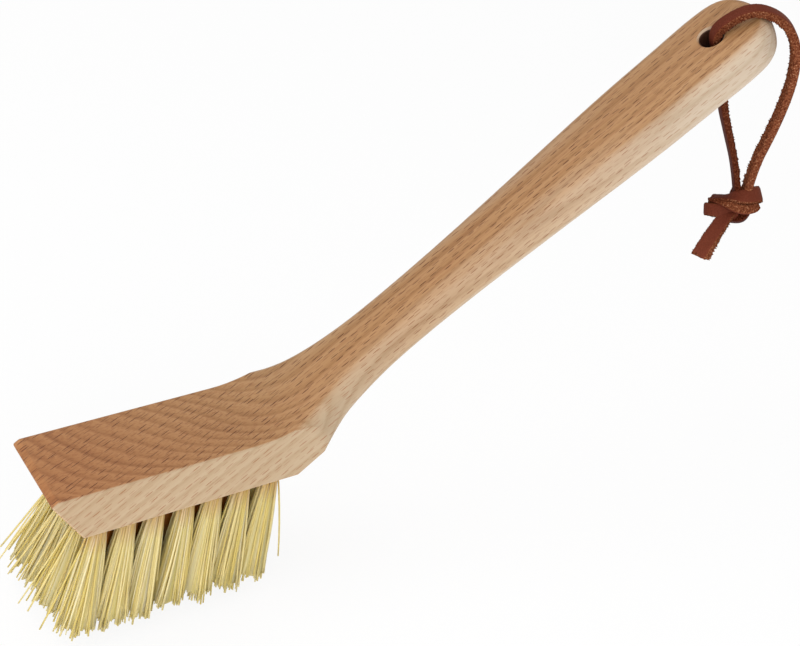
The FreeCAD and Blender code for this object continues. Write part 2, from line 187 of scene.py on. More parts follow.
def growth_rings(tree, tilted):
    """Place in a ring (0 to 1), how mild that year's late wood is, and the slow noise.

    The count of rings is (distance from the pith + slow noise) / pitch. Its fraction is the place
    in a ring, and its whole part picks the year's own number.
    """
    _, tangential, radial = add(tree, "SeparateXYZ", {0: tilted}).outputs
    stretch = (1 / CLOUD_LENGTH, 1 / CLOUD_WIDTH, 1 / CLOUD_WIDTH)
    place = add(tree, "VectorMath", {0: tilted, 1: stretch}, operation="MULTIPLY")
    slow = add(tree, "TexNoise", {"Vector": place, "Scale": 1.0, "Detail": 1.0}).outputs["Fac"]
    waver = add(tree, "MapRange", {"Value": slow, "To Min": -RING_WAVER, "To Max": RING_WAVER})
    pith = add(tree, "Math", {0: radial, 1: PITH_DISTANCE}, operation="ADD")
    flat = add(tree, "CombineXYZ", {"X": tangential, "Y": pith})
    radius = add(tree, "VectorMath", {0: flat}, operation="LENGTH").outputs["Value"]
    bent = add(tree, "Math", {0: radius, 1: waver}, operation="ADD")
    count = add(tree, "Math", {0: bent, 1: RING_PITCH}, operation="DIVIDE")
    ring = add(tree, "Math", {0: count}, operation="FRACT")
    year = add(tree, "Math", {0: count}, operation="FLOOR")
    draw = add(tree, "TexWhiteNoise", {"W": year}, noise_dimensions="1D").outputs["Value"]
    mild = add(tree, "Math", {0: draw, 1: YEAR_SPREAD}, operation="MULTIPLY")
    return ring, mild, slow


print("rings", round(RING_PITCH / MM, 2), "mm apart")

# %% [markdown]
# ### Tops and sides
# The sides are painted lighter than the top, and so are the faces that look down and the
# handle's edges: this is painted light. The wood also changes slowly from toe to tip. The normal
# tells which way a face looks, and ramps along the handle say how much of each tone it has there.

# %% Which way a face looks
SIDE_FROM, SIDE_TO = 0.1, 0.9
LOW_FROM, LOW_TO = 0.2, -0.5
EDGE_FROM, EDGE_TO, EDGE_SHARE = 3.5 * MM, 8.5 * MM, 0.4
TIP_FROM, TIP_TO = -120.0 * MM, 80.0 * MM
# How much light is painted on the sides and the edges along the handle
SIDE_ALONG = [(0.16, "FFFFFF"), (0.32, "BCBCBC"), (0.62, "CACACA"), (0.88, "FFFFFF")]
EDGE_ALONG = [(0.1, "000000"), (0.35, "FFFFFF"), (0.6, "FFFFFF"), (0.8, "000000")]


def face_shares(tree, normal, along, across):
    """Shares from 0 to 1: the way to the tip, how low a face looks, and its painted light.

    Painted light is the larger of side * max(side ramp, low) and edge * edge ramp, where side is how
    far the normal points across the handle, and edge how far a point is from the handle's middle.
    """
    _, facing_across, facing_up = add(tree, "SeparateXYZ", {0: normal}).outputs
    sideways = add(tree, "Math", {0: facing_across}, operation="ABSOLUTE")
    side = add(tree, "MapRange", {"Value": sideways, "From Min": SIDE_FROM, "From Max": SIDE_TO},
               interpolation_type="SMOOTHSTEP")
    low = add(tree, "MapRange", {"Value": facing_up, "From Min": LOW_FROM, "From Max": LOW_TO})
    to_tip = add(tree, "MapRange", {"Value": along, "From Min": TIP_FROM, "From Max": TIP_TO})
    most = add(tree, "Math", {0: ramp(tree, to_tip, SIDE_ALONG), 1: low}, operation="MAXIMUM")
    side = add(tree, "Math", {0: side, 1: most}, operation="MULTIPLY")
    off_middle = add(tree, "Math", {0: across}, operation="ABSOLUTE")
    edge = add(tree, "MapRange", {"Value": off_middle, "From Min": EDGE_FROM, "From Max": EDGE_TO,
                                  "To Max": EDGE_SHARE}, interpolation_type="SMOOTHSTEP")
    edge = add(tree, "Math", {0: edge, 1: ramp(tree, to_tip, EDGE_ALONG)}, operation="MULTIPLY")
    painted_light = add(tree, "Math", {0: side, 1: edge}, operation="MAXIMUM")
    return to_tip, low, painted_light


print("tones change over", round((TIP_TO - TIP_FROM) / MM), "mm of handle")

# %% Tones of the rings
TOE_FROM, TOE_TO = -170.0 * MM, -100.0 * MM
# Tones through one ring, on the top, and lighter on the sides as painted light
HEAD_TOP = [(0.0, "A97549"), (0.4, "A06B3F"), (0.75, "86522B"), (1.0, "A97549")]
TIP_TOP = [(0.0, "AA8259"), (0.5, "A57D53"), (0.8, "976F46"), (1.0, "AA8259")]
HEAD_SIDE_PAINTED_LIGHT = [(0.0, "B09B7F"), (0.5, "AD977A"), (0.8, "A58E70"), (1.0, "B09B7F")]
TIP_SIDE_PAINTED_LIGHT = [(0.0, "BCAB96"), (0.5, "B9A792"), (0.8, "B29F88"), (1.0, "BCAB96")]
# A near white laid softly over faces that look down: painted light from below
LOW_PAINTED_LIGHT = srgb("ECEAEA")


def ring_tone(tree, ring, mild, along, to_tip, low, painted_light):
    """Ring colour: top tones mixed with the sides' painted light tones, and painted light below."""
    from_toe = add(tree, "MapRange", {"Value": along, "From Min": TOE_FROM, "From Max": TOE_TO})
    head_top = add(tree, "Mix", {0: mild, 6: ramp(tree, ring, HEAD_TOP), 7: srgb(HEAD_TOP[0][1])},
                   data_type="RGBA").outputs[2]
    top = add(tree, "Mix", {0: from_toe, 6: head_top, 7: ramp(tree, ring, TIP_TOP)},
              data_type="RGBA").outputs[2]
    side = add(tree, "Mix", {0: to_tip, 6: ramp(tree, ring, HEAD_SIDE_PAINTED_LIGHT),
                             7: ramp(tree, ring, TIP_SIDE_PAINTED_LIGHT)}, data_type="RGBA").outputs[2]
    tone = add(tree, "Mix", {0: painted_light, 6: top, 7: side}, data_type="RGBA").outputs[2]
    return add(tree, "Mix", {0: low, 6: tone, 7: LOW_PAINTED_LIGHT}, data_type="RGBA",
               blend_type="SOFT_LIGHT").outputs[2]


print("late wood on the head's top", HEAD_TOP[2][1], "and on its sides", HEAD_SIDE_PAINTED_LIGHT[2][1])

# %% [markdown]
# ### Streaks and clouds
# Rows of fine pores make faint streaks along the grain, and the blank is a little darker in slow
# clouds. Both only darken, so they are multiplied into the tone.

# %% Streaks and clouds
STREAK_LENGTH, STREAK_WIDTH = 45.0 * MM, 0.6 * MM
STREAK_TONE = [(0.36, "E2D0C0"), (0.54, "FFFFFF")]
STREAK_ON_TOP, STREAK_ON_SIDE = 0.6, 0.15
CLOUD_TONE = [(0.35, "EBDDD0"), (0.6, "FFFFFF")]
CLOUD_SHARE = 0.4


def pore_streaks(tree, grain):
    """Noise from 0 to 1, stretched along the grain to the streaks' length and width."""
    stretch = (1 / STREAK_LENGTH, 1 / STREAK_WIDTH, 1 / STREAK_WIDTH)
    place = add(tree, "VectorMath", {0: grain, 1: stretch}, operation="MULTIPLY")
    return add(tree, "TexNoise", {"Vector": place, "Scale": 1.0, "Detail": 2.0,
                                  "Roughness": 0.5}).outputs["Fac"]


def darkened(tree, tone, streak, slow, painted_light):
    """Tone * streak tone * cloud tone, each in its share; the streaks fade where light is painted."""
    share = add(tree, "MapRange", {"Value": painted_light, "To Min": STREAK_ON_TOP, "To Max": STREAK_ON_SIDE})
    streaked = add(tree, "Mix", {0: share, 6: tone, 7: ramp(tree, streak, STREAK_TONE)},
                   data_type="RGBA", blend_type="MULTIPLY").outputs[2]
    return add(tree, "Mix", {0: CLOUD_SHARE, 6: streaked, 7: ramp(tree, slow, CLOUD_TONE)},
               data_type="RGBA", blend_type="MULTIPLY").outputs[2]


print("streaks", round(STREAK_LENGTH / MM), "by", round(STREAK_WIDTH / MM, 2), "mm")

# %% [markdown]
# ### Ray ends
# A ray is a sheet that stands along the radial direction, so a cut face shows its end as a narrow
# lens along the grain. Voronoi cells give one such end each, spread unevenly without overlapping.
# They are drawn wider than the real tenth of a millimetre, or they would not show.

# %% Ray ends
RAY_LENGTH, RAY_WIDTH = 3.0 * MM, 0.24 * MM
RAY_STEP_ALONG, RAY_STEP_ROUND = 4.8 * MM, 1.6 * MM
RAY_RANDOMNESS = 0.75
RAY_CORE = 0.9
RAY_FAINTEST = 0.45
SEED_SKEW = 0.37


def rays(tree, plane, scale, seed):
    """Mask of lens-shaped ray ends: one in each cell of a stretched 2D Voronoi pattern.

    With d the way from a cell's point, it is 1 where |(2 dx/length, 2 dt/width)| is less than the
    core's share, and fades to 0 at 1. All sizes are multiplied by the scale.
    """
    length, width = scale * RAY_LENGTH, scale * RAY_WIDTH
    step_along, step_round = scale * RAY_STEP_ALONG, scale * RAY_STEP_ROUND
    cells = add(tree, "VectorMath", {0: plane, 1: (1 / step_along, 1 / step_round, 0.0),
                                     2: (seed, SEED_SKEW * seed, 0.0)}, operation="MULTIPLY_ADD")
    points = add(tree, "TexVoronoi", {"Vector": cells, "Scale": 1.0, "Randomness": RAY_RANDOMNESS},
                 voronoi_dimensions="2D")
    away = add(tree, "VectorMath", {0: cells, 1: points.outputs["Position"]}, operation="SUBTRACT")
    lens = (2 * step_along / length, 2 * step_round / width, 0.0)
    scaled = add(tree, "VectorMath", {0: away, 1: lens}, operation="MULTIPLY")
    distance = add(tree, "VectorMath", {0: scaled}, operation="LENGTH")
    mask = add(tree, "MapRange", {"Value": distance.outputs["Value"], "From Min": 1.0,
                                  "From Max": RAY_CORE})
    draw = add(tree, "SeparateColor", {0: points.outputs["Color"]})
    depth = add(tree, "MapRange", {"Value": draw.outputs["Red"], "To Min": RAY_FAINTEST})
    return add(tree, "Math", {0: mask, 1: depth}, operation="MULTIPLY")


print("ray ends", round(RAY_LENGTH / MM, 2), "by", round(RAY_WIDTH / MM, 2), "mm")

# %% Ray ends on the cut faces
RAY_NORMAL = math.cos(RING_TILT) * ACROSS - math.sin(RING_TILT) * UP
RAY_SEED, SMALL_RAY_SEED = 3.0, 11.0
SMALL_RAY_SCALE, SMALL_RAY_SHARE = 0.75, 0.55
FLAT_FROM, FLAT_TO, FLAT_SHARE = 0.8, 0.95, 0.1
RAY_ON_TOP, RAY_ON_SIDE = 1.0, 0.7
RAY_ALONG = [(0.6, "FFFFFF"), (1.0, "E4E4E4")]
# The rays' tone on the top, and a lighter copy where light is painted on the sides
RAY_TONE_TOP, RAY_TONE_PAINTED_LIGHT = srgb("4A1600"), srgb("8A4C20")


def ray_ends(tree, tilted, normal):
    """Large ray ends and fainter small ones, faded where a face lies along the sheets."""
    along, tangential, _ = add(tree, "SeparateXYZ", {0: tilted}).outputs
    plane = add(tree, "CombineXYZ", {"X": along, "Y": tangential})
    small = add(tree, "Math", {0: rays(tree, plane, SMALL_RAY_SCALE, SMALL_RAY_SEED),
                               1: SMALL_RAY_SHARE}, operation="MULTIPLY")
    both = add(tree, "Math", {0: rays(tree, plane, 1.0, RAY_SEED), 1: small}, operation="MAXIMUM")
    flat_on = add(tree, "VectorMath", {0: normal, 1: RAY_NORMAL.tolist()}, operation="DOT_PRODUCT")
    flat_on = add(tree, "Math", {0: flat_on.outputs["Value"]}, operation="ABSOLUTE")
    cut = add(tree, "MapRange", {"Value": flat_on, "From Min": FLAT_FROM, "From Max": FLAT_TO,
                                 "To Min": 1.0, "To Max": FLAT_SHARE})
    return add(tree, "Math", {0: both, 1: cut}, operation="MULTIPLY")


def with_rays(tree, colour, ray, to_tip, painted_light):
    """Colour mixed with the rays' tone, less and lighter where light is painted, less to the tip."""
    clear = add(tree, "MapRange", {"Value": painted_light, "To Min": RAY_ON_TOP, "To Max": RAY_ON_SIDE})
    share = add(tree, "Math", {0: ray, 1: clear}, operation="MULTIPLY")
    share = add(tree, "Math", {0: share, 1: ramp(tree, to_tip, RAY_ALONG)}, operation="MULTIPLY")
    tone = add(tree, "Mix", {0: painted_light, 6: RAY_TONE_TOP, 7: RAY_TONE_PAINTED_LIGHT}, data_type="RGBA").outputs[2]
    return add(tree, "Mix", {0: share, 6: colour, 7: tone}, data_type="RGBA").outputs[2]


print("small ray ends", round(SMALL_RAY_SCALE * RAY_LENGTH / MM, 2), "mm long")

# %% [markdown]
# ### The oiled blank
# The blank was planed, sanded fine and wiped with oil, which leaves it nearly matt. Inside the
# hanging hole, everything near the hole's middle line is painted dark as shade.

# %% Painted shade in the hole
HOLE_SHADE_FROM, HOLE_SHADE_TO = 4.05 * MM, 3.95 * MM
HOLE_SHADE_TONE = srgb("3A2012")


def painted_hole_shade(tree, colour, grain):
    """Colour painted dark as shade where the way from the hole's middle line is under its radius."""
    hole = (HOLE_ALONG - GRIP_ALONG, 0.0, 0.0)
    away = add(tree, "VectorMath", {0: grain, 1: hole}, operation="SUBTRACT")
    level = add(tree, "VectorMath", {0: away, 1: (1.0, 1.0, 0.0)}, operation="MULTIPLY")
    radius = add(tree, "VectorMath", {0: level}, operation="LENGTH").outputs["Value"]
    inside = add(tree, "MapRange", {"Value": radius, "From Min": HOLE_SHADE_FROM, "From Max": HOLE_SHADE_TO})
    return add(tree, "Mix", {0: inside, 6: colour, 7: HOLE_SHADE_TONE}, data_type="RGBA").outputs[2]


print("scorched within", round(HOLE_SHADE_TO / MM, 2), "mm of the hole's middle line")

# %% Beech, planed, sanded and oiled
PORE_DEPTH, PORE_STRENGTH = 0.05 * MM, 0.25
WOOD_ROUGH = (0.5, 0.62)
WOOD_SPECULAR = 0.3


def make_beech():
    """Beech in the tree's directions, with rings, streaks, rays and a slow change of tone."""
    material, tree = new_material("oiled_beech")
    place = add(tree, "TexCoord")
    normal = place.outputs["Normal"]
    grain = add(tree, "Mapping", {"Vector": place.outputs["Object"],
                                  "Rotation": (0.0, HANDLE_ANGLE, 0.0)})
    tilted = add(tree, "Mapping", {"Vector": grain, "Rotation": (RING_TILT, 0.0, 0.0)})
    along, across, _ = add(tree, "SeparateXYZ", {0: grain}).outputs
    ring, mild, slow = growth_rings(tree, tilted)
    to_tip, low, painted_light = face_shares(tree, normal, along, across)
    streak = pore_streaks(tree, grain)
    ray = ray_ends(tree, tilted, normal)
    colour = ring_tone(tree, ring, mild, along, to_tip, low, painted_light)
    colour = darkened(tree, colour, streak, slow, painted_light)
    colour = with_rays(tree, colour, ray, to_tip, painted_light)
    colour = painted_hole_shade(tree, colour, grain)
    height = add(tree, "Math", {0: streak, 1: ray}, operation="SUBTRACT")
    bump = add(tree, "Bump", {"Strength": PORE_STRENGTH, "Distance": PORE_DEPTH, "Height": height})
    rough = add(tree, "MapRange", {"Value": streak, "To Min": WOOD_ROUGH[0], "To Max": WOOD_ROUGH[1]})
    wood = add(tree, "BsdfPrincipled", {"Base Color": colour, "Roughness": rough,
                                        "Specular IOR Level": WOOD_SPECULAR, "Normal": bump})
    add(tree, "OutputMaterial", {"Surface": wood})
    return material


beech = make_beech()
print("beech has", len(beech.node_tree.nodes), "nodes")

# %% [markdown]
# ## The handle and head
# The CAD solid already has the right shape, but its mesh is loose triangles. It could be modelled
# again, which would only risk a difference. Instead a copy is merged so that light runs smoothly
# over the rounded faces, and the edges that turn sharply stay crisp.

# %% Handle
SMOOTH_LIMIT = math.radians(32.0)
SEAM_GAP = 0.002 * MM
wood_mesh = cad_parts["handle"].data.copy()
wood_mesh.name = "beech_handle"
wood_mesh.materials.clear()
wood_mesh.materials.append(beech)
handle = bpy.data.objects.new("beech_handle", wood_mesh)
bpy.context.scene.collection.objects.link(handle)
bpy.ops.object.select_all(action="DESELECT")
bpy.context.view_layer.objects.active = handle
handle.select_set(True)
bpy.ops.mesh.customdata_custom_splitnormals_clear()
bpy.ops.object.mode_set(mode="EDIT")
bpy.ops.mesh.select_all(action="SELECT")
bpy.ops.mesh.remove_doubles(threshold=SEAM_GAP)
bpy.ops.object.mode_set(mode="OBJECT")
bpy.ops.object.shade_smooth_by_angle(angle=SMOOTH_LIMIT)
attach(handle, "brush")
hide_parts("handle")
print("handle has", len(wood_mesh.vertices), "points")

# %% [markdown]
# ## Wire anchors
# Each row of tufts is held by small flat anchors of drawn steel wire, deep in the drilled holes.
# Nothing shows of them from outside, so the CAD nodes stay and get a plain drawn-wire finish: a
# grey metal with the fine lines that the die leaves along it.

# %% Drawn steel wire
DIE_LINE_LENGTH, DIE_LINE_WIDTH = 5.0 * MM, 1.0 / 6 * MM
STEEL_TONE = [(0.3, "8A8A8A"), (0.7, "B0AEAB")]
STEEL_ROUGH = (0.3, 0.5)


def make_wire():
    """Drawn steel: tone and roughness follow a noise that is stretched along the wire."""
    material, tree = new_material("drawn_steel_wire")
    place = add(tree, "TexCoord")
    stretch = (1 / DIE_LINE_LENGTH, 1 / DIE_LINE_WIDTH, 1 / DIE_LINE_WIDTH)
    lines = add(tree, "Mapping", {"Vector": place.outputs["Object"], "Scale": stretch})
    noise = add(tree, "TexNoise", {"Vector": lines, "Scale": 1.0, "Detail": 2.0}).outputs["Fac"]
    rough = add(tree, "MapRange", {"Value": noise, "To Min": STEEL_ROUGH[0], "To Max": STEEL_ROUGH[1]})
    steel = add(tree, "BsdfPrincipled", {"Base Color": ramp(tree, noise, STEEL_TONE),
                                         "Metallic": 1.0, "Roughness": rough})
    add(tree, "OutputMaterial", {"Surface": steel})
    return material


wire = make_wire()
anchor_rows = [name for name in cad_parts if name.startswith("anchors_row")]
for name in anchor_rows:
    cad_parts[name].data.materials.clear()
    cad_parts[name].data.materials.append(wire)
print("wire on", len(anchor_rows), "rows")

# %% [markdown]
# ## Plant fibre
# The tufts are tampico, the stiff fibre of an agave leaf: pale yellow to cream, a little glossy,
# each fibre a slightly different shade. Every fibre carries its own shade as a number on its
# points, and another number that runs from root to tip and sets the painted shade at the roots,
# so that one material serves them all.
# The fibres are thin enough to let light through, so half of the light goes to the far side.

# %% Tampico fibre
FIBRE_TONE = [(0.0, "D6C05A"), (0.12, "E9D87F"), (0.4, "F1E298"), (0.7, "F8EDB8"), (1.0, "FEF8DC")]
# Painted shade at the roots: brown near the wood, none from 0.64 of the way to the tip
ROOT_PAINTED_SHADE = [(0.0, "CC7420"), (0.4, "D08A3C"), (0.64, "FFFFFF")]
FIBRE_ROUGH, FIBRE_IOR = 0.4, 1.5
THROUGH_SHARE = 0.5


def make_fibre():
    """Agave fibre: tone of the fibre's own number * painted shade that fades from root to tip."""
    material, tree = new_material("tampico_fibre")
    shade = add(tree, "Attribute", attribute_name="shade").outputs["Fac"]
    root_shade_reach = add(tree, "Attribute", attribute_name="root_shade_reach").outputs["Fac"]
    colour = add(tree, "Mix", {0: 1.0, 6: ramp(tree, shade, FIBRE_TONE),
                               7: ramp(tree, root_shade_reach, ROOT_PAINTED_SHADE)}, data_type="RGBA",
                 blend_type="MULTIPLY").outputs[2]
    fibre = add(tree, "BsdfPrincipled", {"Base Color": colour, "Roughness": FIBRE_ROUGH,
                                         "IOR": FIBRE_IOR})
    through = add(tree, "BsdfTranslucent", {"Color": colour})
    both = add(tree, "MixShader", {0: THROUGH_SHARE, 1: fibre, 2: through})
    add(tree, "OutputMaterial", {"Surface": both})
    return material


tampico = make_fibre()
print("tampico has", len(tampico.node_tree.nodes), "nodes")

# %% [markdown]
# ## Meshes from arrays
# A piece is a mesh whose points are numpy arrays. A tube, a strip or a cone is a grid of points:
# rows along it and columns round it, so one function makes the faces of them all, and another
# turns points and faces into an object and says which body it rides on.


# %% Mesh helpers
def grid_faces(rows, columns, start=0):
    """Quads between neighbouring rows of a grid whose columns close into a ring."""
    row, column = np.meshgrid(np.arange(rows - 1), np.arange(columns), indexing="ij")
    after = (column + 1) % columns
    corners = (row * columns + column, row * columns + after,
               (row + 1) * columns + after, (row + 1) * columns + column)
    return start + np.stack(corners, axis=-1).reshape(-1, 4)


def make_piece(name, points, faces, materials, body, replaced, kinds=None):
    """A mesh object at the origin from points and faces, shaded smooth, riding on a body."""
    mesh = bpy.data.meshes.new(name)
    mesh.from_pydata(points.reshape(-1, 3).tolist(), [], [list(map(int, face)) for face in faces])
    for material in materials:
        mesh.materials.append(material)
    if kinds is not None:
        mesh.polygons.foreach_set("material_index", np.asarray(kinds, dtype=np.int32))
    mesh.shade_smooth()
    piece = bpy.data.objects.new(name, mesh)
    bpy.context.scene.collection.objects.link(piece)
    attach(piece, body)
    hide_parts(*replaced)
    return piece


def number_points(piece, label, values):
    """Puts one number on each point of a piece, under a label that a material can read."""
    layer = piece.data.attributes.new(label, "FLOAT", "POINT")
    layer.data.foreach_set("value", values.astype(np.float32))


print("a tube of 3 rings has", len(grid_faces(3, 4)), "faces")

# %% [markdown]
# ## Tufts
# A tuft is a bunch of fibres that fills its drilled hole and opens out towards the cut ends. Hair
# particles could grow it, but single tubes give each fibre its own place. Each fibre is a thin
# four-sided tube along a gently bent line, drawn a little thicker than the real one so that it
# shows. Its root lies somewhere in the hole, and its tip lies further out in the same direction.
# All tufts lean towards the toe, most of them a few degrees further than their drilled holes do.
# Those at the toe fan out, and behind the near row they lean more.
# Neighbouring fibres cling together in locks, which are cut a little longer or shorter.
# The inner tufts' roots are painted brown as the shade between tufts, the outer ones' less.
# Only the outer fibres can be seen, so the inside of a bunch is one fluted core.

# %% Tuft layout
COLUMNS, ROWS = 7, 4
TUFT_PITCH, ROW_PITCH = 9.0 * MM, 8.0 * MM
HEAD_LENGTH = 67.5 * MM
TOE_MARGIN = 5.8 * MM
TUFT_LENGTH = 33.2 * MM
ROOT_RADIUS, TIP_RADIUS = 2.2 * MM, 5.3 * MM
SUNK = 1.2 * MM
TOE_LEAN, LEAN, SIDE_SPLAY = (math.radians(angle) for angle in (21.0, 16.0, 7.0))
LEAN_FALLOFF = 0.45


def tuft_axes(row, column):
    """Root, and the directions down the tuft, towards the toe and across it.

    The lean is LEAN, and behind the near row + (TOE_LEAN - LEAN) * falloff ^ column. The splay
    runs from -SIDE_SPLAY on the near row to +SIDE_SPLAY on the far one.
    """
    toe_lean = TOE_LEAN if row else LEAN
    lean = LEAN + (toe_lean - LEAN) * LEAN_FALLOFF ** column
    splay = (row / (ROWS - 1) - 0.5) * 2 * SIDE_SPLAY
    turn = np.array(Matrix.Rotation(lean, 3, "Y") @ Matrix.Rotation(splay, 3, "X"))
    root = HEEL + np.array([-HEAD_LENGTH + TOE_MARGIN + column * TUFT_PITCH,
                            (row - (ROWS - 1) / 2) * ROW_PITCH, 0.0])
    return root, -turn[:, 2], -turn[:, 0], turn[:, 1]


print("first root", tuft_axes(0, 0)[0].round(4))

# %% Fibres of a tuft
rng = np.random.default_rng(7)
FIBRES, FIBRE_RADIUS = 130, 0.33 * MM
RINGS, SIDES = 6, 4
INNERMOST = 0.35  # share of a tuft's area that has no fibres of its own, where the core is
LOCKS, LOCK_PULL = 9, 0.3
FIBRE_SHIFT, LOCK_SHIFT = 0.3 * MM, 0.5 * MM
STRAY_CHANCE, STRAY_TIMES = 0.015, 3.5
TOE_FAN, TOE_FAN_POWER = 8.0 * MM, 16
LOCK_CUT, FIBRE_CUT = 0.7 * MM, 0.9 * MM
FIBRE_BEND = 0.35 * MM
THINNEST, THICKER = 0.8, 0.45
TAPER, TAPER_POWER = 0.2, 3
HEEL_STRAY = np.array([(-2.6, 0.0), (-9.8, -1.0)]) * MM
HEEL_STRAY_LENGTH = 28.0 * MM


def tuft_points(row, column):
    """Fibre tubes of a tuft, as an array of fibres, rings, sides and coordinates.

    A fibre's middle line is root + offset * (1-s) + tip offset * s + bend * 4 s(1-s) + down * s.
    Its radius is its own thickness * (1 - taper * s^3).
    """
    root, down, toeward, across = tuft_axes(row, column)
    spread = np.sqrt(INNERMOST + (1 - INNERMOST) * rng.random(FIBRES))
    angle = rng.random(FIBRES) * 2 * math.pi
    lock = (angle / (2 * math.pi) * LOCKS).astype(int)
    tip_angle = angle + LOCK_PULL * ((lock + 0.5) * 2 * math.pi / LOCKS - angle)
    unit = np.stack([np.cos(angle), np.sin(angle)], axis=-1) * spread[:, None]
    tip_unit = np.stack([np.cos(tip_angle), np.sin(tip_angle)], axis=-1) * spread[:, None]
    loose = rng.normal(0, FIBRE_SHIFT, (FIBRES, 2)) + rng.normal(0, LOCK_SHIFT, (LOCKS, 2))[lock]
    stray = rng.random(FIBRES) < STRAY_CHANCE
    loose[stray] *= STRAY_TIMES
    if column == 0:
        loose[:, 0] += TOE_FAN * rng.random(FIBRES) ** TOE_FAN_POWER
    start = unit * ROOT_RADIUS
    end = tip_unit * TIP_RADIUS + loose
    length = TUFT_LENGTH + rng.normal(0, LOCK_CUT, LOCKS)[lock] + rng.normal(0, FIBRE_CUT, FIBRES)
    if row == 0 and column == COLUMNS - 1:
        start[0], end[0] = HEEL_STRAY
        length[0] = HEEL_STRAY_LENGTH
    bend = rng.normal(0, FIBRE_BEND, (FIBRES, 2))
    s = np.linspace(0, 1, RINGS)[None, :, None]
    flat = start[:, None] * (1 - s) + end[:, None] * s + bend[:, None] * 4 * s * (1 - s)
    deep = -SUNK + s[..., 0] * (length[:, None] + SUNK)
    middle = root + deep[..., None] * down + flat[..., :1] * toeward + flat[..., 1:] * across
    thick = FIBRE_RADIUS * (THINNEST + THICKER * rng.random(FIBRES))[:, None]
    thick = thick * (1 - TAPER * s[..., 0] ** TAPER_POWER)
    turn = rng.random(FIBRES)[:, None] * math.pi + np.arange(SIDES) * 2 * math.pi / SIDES
    ring = np.cos(turn)[..., None] * toeward + np.sin(turn)[..., None] * across
    return middle[:, :, None] + thick[..., None, None] * ring[:, None]


print(FIBRES, "fibres in", LOCKS, "locks")

# %% Core of a tuft
FLUTES, FLUTE_DEPTH = 44, 0.07
FLUTE_SHIFT = 0.05 * MM
CORE_SHARE = 0.9
CORE_SHORT = 1.4 * MM
CORE_CUT, CORE_CUT_POWER = 0.6 * MM, 8


def core_points(row, column):
    """Fluted cone inside a tuft: radius (1-s) * root + s * tip, more or less on each flute.

    Its end is uneven: each flute is longer or shorter by its own length * s^8.
    """
    root, down, toeward, across = tuft_axes(row, column)
    angle = np.arange(FLUTES) * 2 * math.pi / FLUTES
    s = np.linspace(0, 1, RINGS)[:, None]
    radius = CORE_SHARE * (ROOT_RADIUS + (TIP_RADIUS - ROOT_RADIUS) * s)
    fluted = 1 + FLUTE_DEPTH * (-1.0) ** np.arange(FLUTES)
    radius = radius * fluted + rng.normal(0, FLUTE_SHIFT, FLUTES)
    deep = -SUNK + s * (TUFT_LENGTH - CORE_SHORT + SUNK)
    deep = deep + s ** CORE_CUT_POWER * rng.normal(0, CORE_CUT, FLUTES)
    return (root + deep[..., None] * down + (radius * np.cos(angle))[..., None] * toeward
            + (radius * np.sin(angle))[..., None] * across)


def tuft_faces():
    """Side quads of every fibre with its cut end, then the core's sides and its end."""
    fibre = np.vstack([grid_faces(RINGS, SIDES), (RINGS - 1) * SIDES + np.arange(SIDES)])
    starts = np.arange(FIBRES) * RINGS * SIDES
    fibres = (starts[:, None, None] + fibre).reshape(-1, 4)
    first = FIBRES * RINGS * SIDES
    core = grid_faces(RINGS, FLUTES, first)
    end = first + (RINGS - 1) * FLUTES + np.arange(FLUTES)
    return [*fibres.tolist(), *core.tolist(), end.tolist()]


faces_of_tuft = tuft_faces()
print("a tuft has", len(faces_of_tuft), "faces")

# %% All the tufts
FIBRE_SHADES, CORE_SHADES = (3.6, 3.0), (3.0, 2.6)
# The outer tufts start halfway into the painted root shade, so less of it shows on them
LESS_SHADED_FROM = 0.5
steps = np.linspace(0, 1, RINGS)
root_to_tip = np.r_[np.tile(np.repeat(steps, SIDES), FIBRES), np.repeat(steps, FLUTES)]
less_shaded = LESS_SHADED_FROM + (1 - LESS_SHADED_FROM) * root_to_tip
for row in range(ROWS):
    for column in range(COLUMNS):
        node = f"tuft_{row + 1}_{column + 1}"
        points = np.vstack([tuft_points(row, column).reshape(-1, 3),
                            core_points(row, column).reshape(-1, 3)])
        tuft = make_piece(f"fibres_{row + 1}_{column + 1}", points, faces_of_tuft, [tampico],
                          "brush", [node])
        shade = np.r_[np.repeat(rng.beta(*FIBRE_SHADES, FIBRES), RINGS * SIDES),
                      np.tile(rng.beta(*CORE_SHADES, FLUTES), RINGS)]
        outside = row in (0, ROWS - 1) or column in (0, COLUMNS - 1)
        number_points(tuft, "shade", shade)
        number_points(tuft, "root_shade_reach", less_shaded if outside else root_to_tip)
print(ROWS * COLUMNS, "tufts")

# %% [markdown]
# ## Leather
# The lace is cut from a hide as a narrow strip. Its grain face is smooth, dark and a little
# polished, and its cut edges and flesh side are raw: lighter, matt and full of loose fibres. Two
# materials share the strip, and the faces of its mesh say which is which. Its points carry a
# number for how far they are out of shade, and the lower it is, the darker the painted shade.
# Dry leather reflects little at its rim, so its IOR is far below that of a solid.

# %% Leather: grain face and raw cut
# Painted shade on the leather: this tone where a point is not out of shade at all, none at 1
LEATHER_PAINTED_SHADE = [(0.0, "A48C88"), (1.0, "FFFFFF")]
HIDE_BUMP = 0.6


